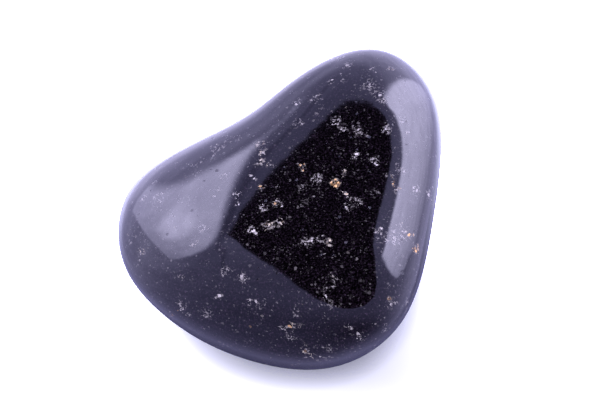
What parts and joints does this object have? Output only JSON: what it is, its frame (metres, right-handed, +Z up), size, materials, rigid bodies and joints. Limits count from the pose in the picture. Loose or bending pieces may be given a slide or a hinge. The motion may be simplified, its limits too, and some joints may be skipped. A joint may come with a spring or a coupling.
{
  "type": "tumbled black onyx stone",
  "caption": "Tumbled, mirror-polished black onyx pebble, a rounded triangle with a shallow hollow in one flank, that rests on a small flat.",
  "frame": {"origin": "on the surface that the stone rests on, under the middle of its bounding box", "axes": "+Z up, the stone's thinnest way, from its resting flat through its broad polished top; +Y towards the narrow end, the stone's longest way; +X to the right as the picture shows it"},
  "size_m": [0.0298, 0.0324, 0.0153],
  "materials": {
    "polished_onyx": "tumbled to a mirror polish, black with fine grey dust and small white and cream inclusions"
  },
  "bodies": {
    "root": {"stone": "polished_onyx"}
  },
  "joints": []
}
